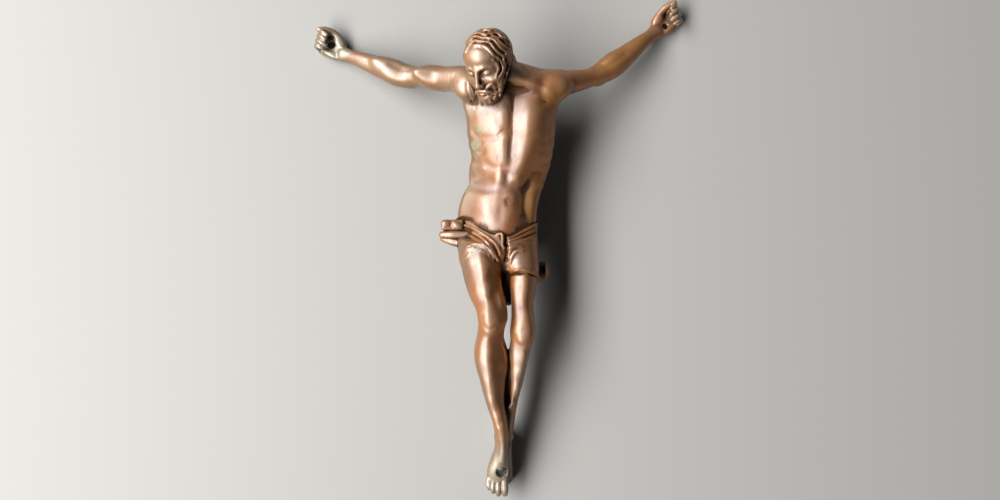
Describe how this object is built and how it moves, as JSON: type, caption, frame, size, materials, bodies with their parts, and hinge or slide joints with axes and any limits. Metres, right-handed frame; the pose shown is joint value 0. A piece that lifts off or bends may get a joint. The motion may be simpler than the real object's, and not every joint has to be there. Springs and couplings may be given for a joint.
{
  "type": "christ figure",
  "caption": "Small cast bronze corpus figure with raised arms, bowed head and knotted loincloth, pierced at hands and feet, lying on its back.",
  "frame": {"origin": "centre of the overall box at its lowest level, the flat worn spots that the figure lies on", "axes": "+X to the figure's left hand, +Y from the feet to the head, +Z out of the chest"},
  "size_m": [0.1366, 0.1812, 0.041],
  "materials": {
    "bronze": "brown patinated bronze, rubbed bright on the high places, pale at the hands and feet, with a few spots of verdigris"
  },
  "bodies": {
    "root": {"corpus": "bronze"}
  },
  "joints": []
}
